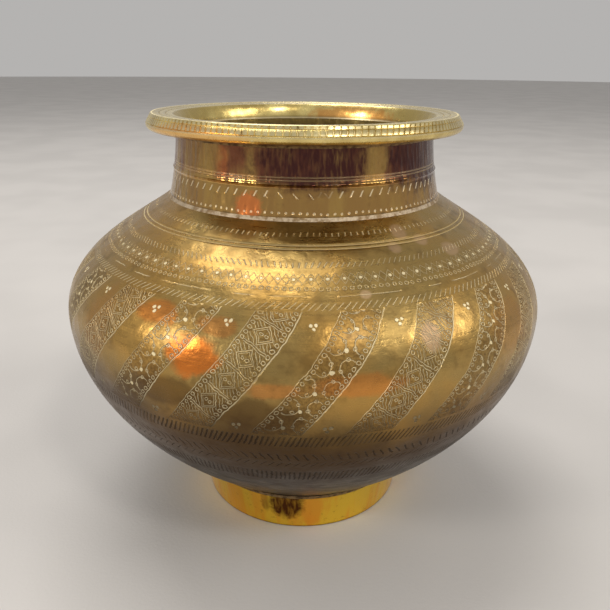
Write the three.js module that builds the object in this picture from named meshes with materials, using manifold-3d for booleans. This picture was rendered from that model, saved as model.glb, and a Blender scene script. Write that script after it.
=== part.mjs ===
// A round-bellied brass water pot, of the kind called a lota, kept as a vase.
// It is put together as a coppersmith does it: a raised body shell, a turned neck collar stood on the
// shoulder, a heavy mouth rim with a milled edge brazed on the collar, and a foot ring under the belly,
// with a bead of filler metal in the corner of each joint.
// Millimetres, +Z up, origin at the middle of the circle that the foot stands on.
import * as THREE from "three";
import { mergeVertices } from "three/addons/utils/BufferGeometryUtils.js";
import Module from "manifold-3d";

const wasm = await Module();
wasm.setup();

// Body shell
const bellyRadius = 80;
const bellyHeight = 76; // height of the widest circle above the table
const bellyFullnessBelow = 31; // how far the wall stays upright under the widest circle
const bellyFullnessAbove = 18;
const bodyWall = 1.6;
const bottomHeight = 5.5; // underside of the body, in the middle of the foot
const bottomFlatShare = 0.42; // share of the foot's radius over which the bottom stays level
const bottomDishReach = 8.4; // the bottom's last slope, up and out to the foot
const bottomDishRise = 7.3;
const bellyStartReach = 8.6; // the belly's first slope, up and out from the foot
const bellyStartRise = 7.5;
const shoulderDrop = 9.6; // the shoulder's last slope, down and out from the neck
const shoulderReach = 13.4;
const twinGrooveRadius = 52.5; // the two turned lines round the shoulder
const twinGrooveSpacing = 1.1;
const turnedGrooveDepth = 0.35;
const turnedGrooveWidth = 0.5;

// Foot ring
const footHeight = 15; // where the underside of the body meets the foot's outer corner
const footRadius = 36.6;
const footFlare = 2.4; // how much wider the ring is where it meets the body
const footWaist = 0.1; // hollow of its outer face
const footWall = 2;
const footEdge = 0.4; // rounding of the edge that it stands on

// Neck collar
const neckBaseHeight = 111.8;
const neckHeight = 20;
const neckBaseRadius = 44.8;
const neckTopRadius = 41.8;
const neckWall = 1.6;
const neckWaist = 0.6; // how far the curve's middle stands out from the top's radius
const neckWaistShare = 0.46; // and its share of the neck's height
const neckLineHeights = [10.4, 11.2]; // two cut lines, above the neck's base
const neckBeadHeight = 8.9; // middle of the bead, above the neck's base
const neckBeadSpan = 0.9;
const neckBeadRelief = 0.3;

// Mouth rim
const rimRadius = 50.9;
const rimHeight = 5.7; // from the collar's top to the rim's top
const rimLipHeight = 2.8; // the plain rolled lip under the milled band
const rimLipInset = 2.2; // how far the lip's underside stands in from its edge
const rimLipRise = 0.5; // and how far it rises from the collar's top
const rimLipRoll = 0.2; // how full the lip's lower corner is
const millDepth = 0.55;
const millCount = 174;
const bandStep = 0.15; // how far the milled band stands in from the lip
const bandDrop = 0.3; // how far it ends under the rim's top
const bandRootCover = 0.6; // how far it reaches into the rim under its slots
const bandWall = 3; // its whole thickness under the slots
const millSlotShare = 0.36; // share of each pitch that is slot
const rimTopInset = 1.65; // how far the top edge stands in from the lip
const funnelReach = 2.3; // the mouth's slope, out from the bore
const funnelDepth = 5;
const funnelFlare = 0.6; // how far the funnel's curve keeps off the bore
const funnelBend = 0.3; // where it bends, as a share of its depth
const rimTopFall = 0.5; // how far the top falls inwards to the funnel
const rimLineInsets = [2.7, 4.7]; // two turned lines on the top, in from its edge

// Joints
const fillerGap = 0.3;
const neckFillerSize = 1;
const footFillerSize = 1.2;
const rimFillerSize = 0.9;
const fillerHollow = 0.25; // how far a bead's face is drawn in to its corner

const turns = 60; // flat faces round each turned piece
const curveSteps = 9;

const neckTopHeight = neckBaseHeight + neckHeight;
const footTopRadius = footRadius + footFlare;

// Points along a cubic or quadratic curve between control points given as [radius, height].
function curve(controls, steps) {
  const points = controls.map(([r, z]) => new THREE.Vector2(r, z));
  const made =
    points.length === 4 ? new THREE.CubicBezierCurve(...points) : new THREE.QuadraticBezierCurve(...points);
  return made.getPoints(steps);
}

// The line that lies a wall's thickness inside another one.
function insetLine(points, wall) {
  return points.map((point, i) => {
    const before = points[Math.max(i - 1, 0)];
    const after = points[Math.min(i + 1, points.length - 1)];
    const along = after.clone().sub(before).normalize();
    return new THREE.Vector2(Math.max(point.x - along.y * wall, 0), point.y + along.x * wall);
  });
}

// Height of a line, listed upwards, at a radius, or its radius at a height.
function lineAt(points, value, from, to) {
  for (let i = 1; i < points.length; i += 1) {
    const a = points[i - 1];
    const b = points[i];
    if ((a[from] - value) * (b[from] - value) <= 0 && a[from] !== b[from]) {
      return a[to] + ((b[to] - a[to]) * (value - a[from])) / (b[from] - a[from]);
    }
  }
  throw new Error(`the outline has no point at ${from} ${value}`);
}

// Cuts turned V lines into an outline, each centred on a radius or a height.
function cutLines(points, places, axis) {
  const out = [];
  points.forEach((point, i) => {
    out.push(point);
    const next = points[i + 1];
    if (!next) return;
    const along = next.clone().sub(point).normalize();
    const inward = new THREE.Vector2(-along.y, along.x);
    const within = places.filter((place) => (point[axis] - place) * (next[axis] - place) < 0);
    const found = within.map((place) => {
      const share = (place - point[axis]) / (next[axis] - point[axis]);
      return point.clone().lerp(next, share);
    });
    found.sort((a, b) => a.distanceTo(point) - b.distanceTo(point));
    found.forEach((middle) => {
      out.push(middle.clone().addScaledVector(along, -turnedGrooveWidth / 2));
      out.push(middle.clone().addScaledVector(inward, turnedGrooveDepth));
      out.push(middle.clone().addScaledVector(along, turnedGrooveWidth / 2));
    });
  });
  return out;
}

// A closed outline, or one that starts and ends on the axis, turned about the upright axis.
function turned(outline) {
  const closed = outline[0].x === 0 ? outline : [...outline, outline[0].clone()];
  return new THREE.LatheGeometry(closed, turns).rotateX(Math.PI / 2);
}

function solidFrom(geometry) {
  const bare = geometry.clone();
  bare.deleteAttribute("normal");
  bare.deleteAttribute("uv");
  const merged = mergeVertices(bare, 1e-4);
  return new wasm.Manifold(
    new wasm.Mesh({
      numProp: 3,
      vertProperties: merged.attributes.position.array,
      triVerts: new Uint32Array(merged.index.array),
    }),
  );
}

function geometryFrom(solid) {
  const mesh = solid.getMesh();
  return new THREE.BufferGeometry()
    .setAttribute("position", new THREE.BufferAttribute(mesh.vertProperties, 3))
    .setIndex(new THREE.BufferAttribute(mesh.triVerts, 1));
}

// The body's outside, upwards: the sagging bottom inside the foot, the belly's lower half, its upper half.
const seatCorner = [footTopRadius, footHeight];
const bottomLine = curve(
  [
    [0, bottomHeight],
    [footTopRadius * bottomFlatShare, bottomHeight],
    [footTopRadius - bottomDishReach, footHeight - bottomDishRise],
    seatCorner,
  ],
  6,
);
const lowerBelly = curve(
  [
    seatCorner,
    [footTopRadius + bellyStartReach, footHeight + bellyStartRise],
    [bellyRadius, bellyHeight - bellyFullnessBelow],
    [bellyRadius, bellyHeight],
  ],
  curveSteps,
);
const upperBelly = curve(
  [
    [bellyRadius, bellyHeight],
    [bellyRadius, bellyHeight + bellyFullnessAbove],
    [neckBaseRadius + shoulderReach, neckBaseHeight - shoulderDrop],
    [neckBaseRadius, neckBaseHeight],
  ],
  curveSteps + 1,
);
const bodyOutside = [...bottomLine, ...lowerBelly.slice(1), ...upperBelly.slice(1)];

// A raised shell, with the twin lines turned round the shoulder and a level seat for the collar.
function bodyShell() {
  const lines = [twinGrooveRadius, twinGrooveRadius + twinGrooveSpacing];
  const shoulder = cutLines(upperBelly, lines, "x");
  const outside = [...bottomLine, ...lowerBelly.slice(1), ...shoulder.slice(1)];
  const inside = insetLine(bodyOutside, bodyWall).filter((point, i) => i % 2 === 0);
  inside[0].x = 0;
  const bore = neckBaseRadius - neckWall;
  const underLip = inside.filter((point) => point.x > bore + 1 || point.y < bellyHeight);
  const lip = new THREE.Vector2(bore, neckBaseHeight);
  const lipFoot = new THREE.Vector2(bore, neckBaseHeight - bodyWall / 2);
  return turned([...outside, lip, lipFoot, ...underLip.reverse()]);
}

// A tapering collar with two cut lines and a bead round its middle.
const neckOutside = curve(
  [
    [neckBaseRadius, neckBaseHeight],
    [neckTopRadius + neckWaist, neckBaseHeight + neckHeight * neckWaistShare],
    [neckTopRadius, neckTopHeight],
  ],
  6,
);

function neckCollar() {
  const lines = neckLineHeights.map((height) => neckBaseHeight + height);
  const beadMiddle = neckBaseHeight + neckBeadHeight;
  const cut = cutLines(neckOutside, lines, "y");
  const bead = [-0.5, 0, 0.5].map((share) => {
    const height = beadMiddle + share * neckBeadSpan;
    const relief = share === 0 ? neckBeadRelief : 0;
    return new THREE.Vector2(lineAt(neckOutside, height, "y", "x") + relief, height);
  });
  const outside = [...cut, ...bead].sort((a, b) => a.y - b.y);
  const inside = neckOutside
    .filter((point, i) => i % 3 === 0)
    .map((point) => new THREE.Vector2(point.x - neckWall, point.y));
  return turned([...outside, ...inside.reverse()]);
}

// The rim's plain body: lip, band core, grooved top and the funnel down to the bore.
function rimOutline() {
  const base = neckTopHeight;
  const top = base + rimHeight;
  const lipTop = base + rimLipHeight;
  const topRadius = rimRadius - rimTopInset;
  const bore = neckTopRadius - neckWall;
  const root = millDepth + bandRootCover;
  const at = (r, z) => new THREE.Vector2(r, z);
  const lip = curve(
    [
      [rimRadius - rimLipInset, base + rimLipRise],
      [rimRadius, base + rimLipRise + rimLipRoll],
      [rimRadius, lipTop],
    ],
    4,
  );
  const topLine = cutLines(
    [at(topRadius, top), at(bore + funnelReach, top - rimTopFall)],
    rimLineInsets.map((inset) => topRadius - inset),
    "x",
  );
  const funnel = curve(
    [
      [bore + funnelReach, top - rimTopFall],
      [bore + funnelFlare, top - rimTopFall - funnelDepth * funnelBend],
      [bore, base],
    ],
    4,
  );
  return [
    at(neckTopRadius, base),
    ...lip,
    at(rimRadius - root, lipTop + bandStep),
    at(topRadius - root, top - bandDrop - bandStep),
    ...topLine,
    ...funnel.slice(1),
  ];
}

// The milled band: a ring of upright lands with narrow slots between them, tapering like the rim's edge.
function milledBand() {
  const low = neckTopHeight + rimLipHeight;
  const high = neckTopHeight + rimHeight - bandDrop;
  const pitch = (2 * Math.PI) / millCount;
  const ring = new THREE.Shape();
  for (let i = 0; i < millCount; i += 1) {
    const start = i * pitch;
    const places = [
      [start + (pitch * millSlotShare) / 2, rimRadius],
      [start + pitch - (pitch * millSlotShare) / 2, rimRadius],
      [start + pitch, rimRadius - millDepth],
    ];
    places.forEach(([angle, radius], j) => {
      const x = radius * Math.cos(angle);
      const y = radius * Math.sin(angle);
      if (i === 0 && j === 0) ring.moveTo(x, y);
      else ring.lineTo(x, y);
    });
  }
  const hole = new THREE.Path();
  hole.absarc(0, 0, rimRadius - millDepth - bandWall, 0, 2 * Math.PI, true);
  ring.holes.push(hole);
  const band = new THREE.ExtrudeGeometry(ring, {
    depth: high - low,
    bevelEnabled: false,
    curveSegments: turns / 2,
  });
  const positions = band.attributes.position;
  for (let i = 0; i < positions.count; i += 1) {
    const share = positions.getZ(i) / (high - low);
    const radius = Math.hypot(positions.getX(i), positions.getY(i));
    const scale = (radius - bandStep - (rimTopInset - bandStep) * share) / radius;
    positions.setXYZ(i, positions.getX(i) * scale, positions.getY(i) * scale, positions.getZ(i) + low);
  }
  return band;
}

function mouthRim() {
  return geometryFrom(solidFrom(turned(rimOutline())).add(solidFrom(milledBand())));
}

// A slightly waisted ring whose top is turned to the slope of the body's underside.
const footInnerRadius = footRadius - footWall;

function footRing() {
  const underside = (radius) => lineAt(bodyOutside, radius, "x", "y") - fillerGap;
  const topInner = footTopRadius - footWall;
  const at = (r, z) => new THREE.Vector2(r, z);
  const face = curve(
    [
      [footRadius, footEdge],
      [footRadius + footFlare / 2 - 2 * footWaist, footHeight / 2],
      [footTopRadius, underside(footTopRadius)],
    ],
    4,
  );
  return turned([
    at(footInnerRadius, 0),
    at(footRadius - footEdge, 0),
    ...face,
    at(topInner, underside(topInner)),
  ]);
}

// A bead of filler in the corner between two outline directions, held off both by the gap.
function fillerBead(corner, alongWall, alongSeat, size) {
  const wall = alongWall.clone().normalize();
  const seat = alongSeat.clone().normalize();
  const sine = Math.abs(wall.cross(seat));
  const root = corner.clone().addScaledVector(wall, fillerGap / sine).addScaledVector(seat, fillerGap / sine);
  const onWall = root.clone().addScaledVector(wall, size);
  const onSeat = root.clone().addScaledVector(seat, size);
  const face = onWall.clone().add(onSeat).multiplyScalar(0.5).lerp(root, fillerHollow);
  const outline = [root, onSeat, face, onWall];
  return turned(THREE.ShapeUtils.area(outline) > 0 ? outline : outline.reverse());
}

function neckSolder() {
  const wall = neckOutside[1].clone().sub(neckOutside[0]);
  const shoulder = upperBelly.at(-2).clone().sub(upperBelly.at(-1));
  return fillerBead(neckOutside[0], wall, shoulder, neckFillerSize);
}

function rimBraze() {
  const wall = neckOutside.at(-2).clone().sub(neckOutside.at(-1));
  const underside = new THREE.Vector2(rimRadius - rimLipInset - neckTopRadius, rimLipRise);
  return fillerBead(neckOutside.at(-1), wall, underside, rimFillerSize);
}

function footSolder() {
  const corner = new THREE.Vector2(footTopRadius, footHeight);
  const belly = lowerBelly[1].clone().sub(lowerBelly[0]);
  return fillerBead(corner, new THREE.Vector2(0, -1), belly, footFillerSize);
}

const brassBody = new THREE.MeshStandardMaterial({ color: 0x9a7436, roughness: 0.38, metalness: 1 });
const brassNeck = new THREE.MeshStandardMaterial({ color: 0x9c6a38, roughness: 0.25, metalness: 1 });
const brassRim = new THREE.MeshStandardMaterial({ color: 0xa98f45, roughness: 0.32, metalness: 1 });
const brassFoot = new THREE.MeshStandardMaterial({ color: 0xc08a2e, roughness: 0.2, metalness: 1 });
const fillerMetal = new THREE.MeshStandardMaterial({ color: 0xb5a79a, roughness: 0.55, metalness: 1 });

const vase = new THREE.Group();

function addPiece(name, geometry, material) {
  const piece = new THREE.Mesh(geometry, material);
  piece.name = name;
  vase.add(piece);
}

addPiece("body_shell", bodyShell(), brassBody);
addPiece("neck_collar", neckCollar(), brassNeck);
addPiece("mouth_rim", mouthRim(), brassRim);
addPiece("foot_ring", footRing(), brassFoot);
addPiece("neck_solder", neckSolder(), fillerMetal);
addPiece("rim_braze", rimBraze(), fillerMetal);
addPiece("foot_solder", footSolder(), fillerMetal);

export default vase;
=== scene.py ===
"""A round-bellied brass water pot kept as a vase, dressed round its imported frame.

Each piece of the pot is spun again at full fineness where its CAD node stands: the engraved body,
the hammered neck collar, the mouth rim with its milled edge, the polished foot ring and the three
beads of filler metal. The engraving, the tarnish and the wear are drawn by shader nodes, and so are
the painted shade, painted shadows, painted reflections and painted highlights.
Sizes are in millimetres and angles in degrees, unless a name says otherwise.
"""

import enum
import logging
import math
from dataclasses import dataclass
from typing import Optional, Protocol, Union

import bmesh
import bpy
from mathutils import Matrix, Vector


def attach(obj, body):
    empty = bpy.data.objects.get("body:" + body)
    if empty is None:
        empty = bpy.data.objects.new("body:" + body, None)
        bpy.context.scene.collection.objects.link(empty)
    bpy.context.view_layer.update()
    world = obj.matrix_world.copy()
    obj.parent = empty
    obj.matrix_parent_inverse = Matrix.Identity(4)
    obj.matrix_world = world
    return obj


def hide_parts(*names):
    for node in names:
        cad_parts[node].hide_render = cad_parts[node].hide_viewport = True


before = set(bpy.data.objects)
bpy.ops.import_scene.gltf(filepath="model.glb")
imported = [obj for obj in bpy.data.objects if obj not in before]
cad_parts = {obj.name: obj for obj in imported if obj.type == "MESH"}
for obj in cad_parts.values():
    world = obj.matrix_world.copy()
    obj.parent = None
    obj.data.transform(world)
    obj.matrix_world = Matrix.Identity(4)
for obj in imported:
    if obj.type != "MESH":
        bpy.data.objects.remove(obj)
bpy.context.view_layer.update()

log = logging.getLogger("brass_pot")

MM = 0.001
FULL_TURN = 360.0
BODY = "root"
RUN_LAYER = "run_mm"

Point = tuple[float, float]
Point3 = tuple[float, float, float]
Colour = tuple[float, float, float, float]
Term = Union["Shade", float]
Paint = Union["Shade", Colour]


class Slot(enum.Enum):
    """The record's material slots."""

    BODY = "body_brass"
    NECK = "neck_brass"
    RIM = "rim_brass"
    FOOT = "foot_brass"
    FILLER = "filler_metal"


class Shade:
    """A shader socket that takes part in sums, so that node maths reads as plain maths."""

    def __init__(self, board: "Board", socket: bpy.types.NodeSocket) -> None:
        """Wraps one output socket of a board's node."""
        self.board = board
        self.socket = socket

    def __add__(self, other: Term) -> "Shade":
        """This plus another."""
        return self.board.maths("ADD", self, other)

    def __radd__(self, other: float) -> "Shade":
        """A number plus this."""
        return self.board.maths("ADD", other, self)

    def __sub__(self, other: Term) -> "Shade":
        """This less another."""
        return self.board.maths("SUBTRACT", self, other)

    def __rsub__(self, other: float) -> "Shade":
        """A number less this."""
        return self.board.maths("SUBTRACT", other, self)

    def __mul__(self, other: Term) -> "Shade":
        """This times another."""
        return self.board.maths("MULTIPLY", self, other)

    def __rmul__(self, other: float) -> "Shade":
        """A number times this."""
        return self.board.maths("MULTIPLY", other, self)

    def __truediv__(self, other: Term) -> "Shade":
        """This over another."""
        return self.board.maths("DIVIDE", self, other)

    def __abs__(self) -> "Shade":
        """This without its sign."""
        return self.board.maths("ABSOLUTE", self)


class Board:
    """The node tree of one material, and the calls that add nodes to it."""

    def __init__(self, name: str) -> None:
        """Starts an empty material of that name."""
        self.material = bpy.data.materials.new(name)
        self.material.use_nodes = True
        self.tree = self.material.node_tree
        self.tree.nodes.clear()

    def node(self, kind: str, settings: dict, sockets: dict) -> bpy.types.Node:
        """Adds one node.

        Args:
            kind: the node's type.
            settings: its own settings by name, set before its sockets.
            sockets: a Shade to link, or a value, for each input by name or number.

        Returns:
            The new node.
        """
        made = self.tree.nodes.new(kind)
        for name, value in settings.items():
            setattr(made, name, value)
        for key, value in sockets.items():
            if isinstance(value, Shade):
                self.tree.links.new(value.socket, made.inputs[key])
            else:
                made.inputs[key].default_value = value
        return made

    def shade(self, kind: str, settings: dict, sockets: dict, output: Union[int, str] = 0) -> Shade:
        """Adds one node and wraps one of its outputs.

        Args:
            kind: the node's type.
            settings: its own settings by name.
            sockets: its inputs' links and values.
            output: the output's name or number.

        Returns:
            The wrapped output.
        """
        return Shade(self, self.node(kind, settings, sockets).outputs[output])

    def maths(self, operation: str, first: Term, second: Optional[Term] = None) -> Shade:
        """Adds a Math node.

        Args:
            operation: the node's operation.
            first: its first term.
            second: its second term, where the operation takes one.

        Returns:
            The result.
        """
        terms = {0: first} if second is None else {0: first, 1: second}
        return self.shade("ShaderNodeMath", {"operation": operation}, terms)

    def ramp(self, value: Shade, start: float, end: float) -> Shade:
        """A smooth step over a value.

        Args:
            value: what is read.
            start: where the result is still 0.
            end: where it has reached 1. It may be the lower of the two.

        Returns:
            The step, from 0 to 1.
        """
        if start < end:
            ends = {"From Min": start, "From Max": end, "To Min": 0.0, "To Max": 1.0}
        else:
            ends = {"From Min": end, "From Max": start, "To Min": 1.0, "To Max": 0.0}
        settings = {"interpolation_type": "SMOOTHSTEP"}
        return self.shade("ShaderNodeMapRange", settings, {"Value": value, **ends})

    def vector(self, x: Term, y: Term, z: Term) -> Shade:
        """A vector of three terms."""
        return self.shade("ShaderNodeCombineXYZ", {}, {0: x, 1: y, 2: z})

    def noise(self, place: Shade, scale: float, detail: float = 2.0, sharpness: float = 0.5) -> Shade:
        """Smooth noise.

        Args:
            place: where it is read.
            scale: how many of its blotches fit into one unit of place.
            detail: how many finer layers it has.
            sharpness: how strong the finer layers are.

        Returns:
            The noise, mostly between 0.3 and 0.7.
        """
        sockets = {"Vector": place, "Scale": scale, "Detail": detail, "Roughness": sharpness}
        return self.shade("ShaderNodeTexNoise", {}, sockets)

    def mix(self, share: Term, first: Paint, second: Paint) -> Shade:
        """A blend of two colours, all first at share 0 and all second at 1."""
        return self.shade("ShaderNodeMix", {"data_type": "RGBA"}, {0: share, 6: first, 7: second}, 2)

    def layered(self, metal: Shade, layers: list[tuple[Term, Paint]]) -> Shade:
        """Lays colours over a metal, one after another.

        Args:
            metal: the bare metal.
            layers: each layer's share and colour.

        Returns:
            The colour of them all.
        """
        for share, colour in layers:
            metal = self.mix(share, metal, colour)
        return metal

    def metal(self, colour: Shade, metallic: Term, roughness: Shade, relief: Shade,
              coat: float = 0.0) -> bpy.types.Material:
        """Ends the material with its surface shader.

        Args:
            colour: the metal's colour.
            metallic: how far it is bare metal and not dirt.
            roughness: its roughness.
            relief: its height in millimetres, for the bump.
            coat: how much of a clear film of wax or lacquer lies on it.

        Returns:
            The finished material.
        """
        bump = self.shade("ShaderNodeBump", {}, {"Strength": 1.0, "Distance": MM, "Height": relief})
        sockets = {"Base Color": colour, "Metallic": metallic, "Roughness": roughness, "Normal": bump,
                   "Coat Weight": coat, "Coat Roughness": 0.16}
        shader = self.shade("ShaderNodeBsdfPrincipled", {}, sockets)
        self.node("ShaderNodeOutputMaterial", {}, {"Surface": shader})
        return self.material


@dataclass(frozen=True)
class Patch:
    """A soft oval patch on the outside of the pot.

    Its angle is in degrees to the viewer's right of the front. Wide is half its width, in degrees,
    and tall is half its height.
    """

    angle: float
    height: float
    wide: float
    tall: float
    strength: float = 1.0


class Ground:
    """Where a point of a turned piece lies, as shades: place, angle, height and radius."""

    patch_fade = (1.25, 0.7)

    def __init__(self, board: Board) -> None:
        """Reads the piece's own coordinates.

        Args:
            board: the material's board.
        """
        self.board = board
        coordinates = board.shade("ShaderNodeTexCoord", {}, {}, "Object")
        metres = {"operation": "SCALE"}
        self.place = board.shade("ShaderNodeVectorMath", metres, {0: coordinates, "Scale": 1 / MM})
        parts = board.node("ShaderNodeSeparateXYZ", {}, {0: self.place})
        x, y, self.height = (Shade(board, output) for output in parts.outputs)
        self.angle = board.maths("ARCTAN2", x, 0.0 - y) * math.degrees(1.0)
        self.radius = board.maths("SQRT", x * x + y * y)

    def stretched(self, across: float, up: float) -> Shade:
        """The place with its level and upright directions scaled."""
        settings = {"operation": "MULTIPLY"}
        return self.board.shade("ShaderNodeVectorMath", settings, {0: self.place, 1: (across, across, up)})

    def patch(self, spot: Patch, mottle: Shade, ragged: float) -> Shade:
        """Draws one patch.

        Args:
            spot: where it lies, and how strong it is.
            mottle: the noise that makes its outline uneven.
            ragged: how uneven that is.

        Returns:
            Its strength inside and 0 outside.
        """
        across = (self.angle - spot.angle) / spot.wide
        upright = (self.height - spot.height) / spot.tall
        reach = self.board.maths("SQRT", across * across + upright * upright)
        return self.board.ramp(reach + (mottle - 0.5) * ragged, *self.patch_fade) * spot.strength

    def patches(self, spots: tuple[Patch, ...], mottle: Shade, ragged: float) -> Shade:
        """Draws several patches.

        Args:
            spots: the patches.
            mottle: the noise that makes their outlines uneven.
            ragged: how uneven those are.

        Returns:
            The strongest of them at each point.
        """
        strongest: Term = 0.0
        for spot in spots:
            strongest = self.board.maths("MAXIMUM", self.patch(spot, mottle, ragged), strongest)
        return strongest


@dataclass(frozen=True)
class TickRow:
    """A row of short cut strokes round the pot, from a low to a high height.

    They lean to the right by the lean for each millimetre up.
    """

    low: float
    high: float
    count: int
    lean: float
    width: float
    strength: float = 1.0


class Outline(Protocol):
    """What an engraver asks of the piece that is engraved."""

    def run_at(self, height: float) -> float:
        """The run of outline at a height."""

    def radius_at(self, height: float) -> float:
        """The outside radius at a height."""


@dataclass(frozen=True)
class StripPlan:
    """The slanting strips that are engraved round the belly."""

    count: int = 21
    first_edge: float = -8.6
    edge_height: float = 96.0
    lean: float = 0.57
    width: float = 9.3
    low: float = 64.6
    high: float = 94.8
    tilt: float = 38.0
    ring_inset: float = 1.0
    ring_radius: float = 0.48
    ring_pitch: float = 1.75
    lattice_pitch: float = 7.6
    squares: tuple[float, float] = (2.55, 1.95)
    flower_pitch: float = 6.6
    punch_radius: float = 0.55
    trio_radius: float = 0.5
    trio: tuple[Point, ...] = ((-0.72, 0.3), (0.68, 0.45), (-0.05, -0.72))

    @property
    def pitch(self) -> float:
        """Degrees from one strip to the next."""
        return FULL_TURN / self.count


class Engraver:
    """Draws engraved marks on a ground, as shades that are 1 in the cut and 0 outside it."""

    softness = 0.09
    thread_width = 0.28
    zigzag_width = 0.28

    def __init__(self, ground: Ground, run: Shade, outline: Outline) -> None:
        """Takes the ground and its unevenness, which makes the marks look cut by hand.

        Args:
            ground: where each point lies.
            run: the length of outline up to each point.
            outline: the piece that is engraved.
        """
        self.board = ground.board
        self.outline = outline
        self.height = ground.height
        self.radius = ground.radius
        sway = self.board.noise(ground.place, 0.11, 1.0)
        shake = self.board.noise(ground.place, 0.6, 1.0)
        self.angle = ground.angle + (sway - 0.5) * 1.3 + (shake - 0.5) * 0.5
        self.run = run + (sway - 0.5) * 0.9 + (shake - 0.5) * 0.35

    def stroke(self, distance: Shade, half_width: float) -> Shade:
        """A line, from the distance to its middle."""
        return self.board.ramp(distance, half_width + self.softness, half_width - self.softness)

    def thread(self, height: float) -> Shade:
        """A line round the pot at a height."""
        return self.stroke(abs(self.run - self.outline.run_at(height)), self.thread_width / 2)

    def repeat(self, value: Shade, pitch: float) -> Shade:
        """A value folded into one pitch, from minus half of it to plus half."""
        return (self.board.maths("FRACT", value / pitch) - 0.5) * pitch

    def span(self, across: Shade, along: Shade) -> Shade:
        """The distance of a point from a middle, by its two parts."""
        return self.board.maths("SQRT", across * across + along * along)

    def ticks(self, row: TickRow, lean: Optional[Shade] = None) -> Shade:
        """A row of strokes.

        Args:
            row: its plan.
            lean: the strokes' lean, if it changes along the row.

        Returns:
            The marks.
        """
        low, high = self.outline.run_at(row.low), self.outline.run_at(row.high)
        degree = math.radians(1.0) * self.outline.radius_at((row.low + row.high) / 2)
        up = self.run - (low + high) / 2
        leaning = up * (row.lean if lean is None else lean) / degree
        across = abs(self.repeat(self.angle - leaning, FULL_TURN / row.count)) * degree
        marks = self.stroke(across, row.width / 2) * self.stroke(abs(up), (high - low) / 2)
        return marks * row.strength

    def rings(self, height: float, count: int, radius: float, line: float) -> Shade:
        """A row of small rings, or of dots where the line is as wide as the ring.

        Args:
            height: the row's height.
            count: how many there are round the pot.
            radius: a ring's radius.
            line: half the width of its line.

        Returns:
            The marks.
        """
        degree = math.radians(1.0) * self.outline.radius_at(height)
        across = self.repeat(self.angle, FULL_TURN / count) * degree
        up = self.run - self.outline.run_at(height)
        return self.stroke(abs(self.span(across, up) - radius), line)

    def diamonds(self, height: float, count: int, half: float) -> Shade:
        """Two crossing zigzag lines round the pot.

        Args:
            height: the height of their middle.
            count: how many diamonds they leave.
            half: how far they reach up and down.

        Returns:
            The marks.
        """
        share = abs(self.repeat(self.angle, FULL_TURN / count)) * (4 * count / FULL_TURN) - 1.0
        up = abs(self.run - self.outline.run_at(height))
        return self.stroke(abs(up - abs(share) * half), self.zigzag_width / 2) * self.stroke(up, half)


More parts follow.
